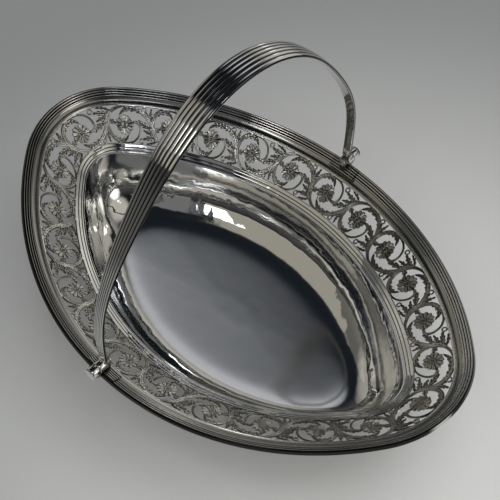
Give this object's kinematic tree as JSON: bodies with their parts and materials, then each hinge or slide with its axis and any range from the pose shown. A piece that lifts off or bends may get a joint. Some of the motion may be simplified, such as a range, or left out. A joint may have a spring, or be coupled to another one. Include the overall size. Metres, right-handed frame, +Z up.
{
  "type": "swing-handled cake basket",
  "caption": "Boat-shaped oval silver basket with a pierced scroll border, reeded rim, oval collet foot and a reeded handle that swings on side hinges.",
  "frame": {"origin": "centre of the foot on the surface it stands on", "axes": "+X along the basket, +Y along the handle's hinge line, +Z up"},
  "size_m": [0.3722, 0.2698, 0.2677],
  "materials": {
    "polished_silver": "hand-polished silver with a faint grey cast",
    "engraved_silver": "pierced and engraved silver, tarnish left in the cuts",
    "reeded_silver": "drawn reeded silver, polished on the crowns and dull in the grooves",
    "worn_silver": "hand-filed silver, slightly yellowed"
  },
  "bodies": {
    "basket": {"bowl": "polished_silver", "border_panel_1": "engraved_silver", "border_panel_2": "engraved_silver", "border_panel_3": "engraved_silver", "border_panel_4": "engraved_silver", "border_panel_5": "engraved_silver", "border_panel_6": "engraved_silver", "border_panel_7": "engraved_silver", "border_panel_8": "engraved_silver", "rim_wire_right": "reeded_silver", "rim_wire_left": "reeded_silver", "foot_collar": "polished_silver", "foot_wire": "reeded_silver", "hinge_bracket_back": "reeded_silver", "inner_knuckle_back": "polished_silver", "outer_knuckle_back": "polished_silver", "hinge_cap_back": "polished_silver", "hinge_pin_back": "worn_silver", "hinge_bracket_front": "reeded_silver", "inner_knuckle_front": "polished_silver", "outer_knuckle_front": "polished_silver", "hinge_cap_front": "polished_silver", "hinge_pin_front": "worn_silver"},
    "handle": {"handle_band": "reeded_silver", "handle_knuckle_back": "polished_silver", "handle_rivet_back": "worn_silver", "handle_knuckle_front": "polished_silver", "handle_rivet_front": "worn_silver"}
  },
  "joints": [
    {"name": "handle_swing", "type": "hinge", "parent": "basket", "child": "handle", "pos_m": [0, 0, 0.0911], "axis": [0, 1, 0], "range_deg": [-83, 83]}
  ]
}
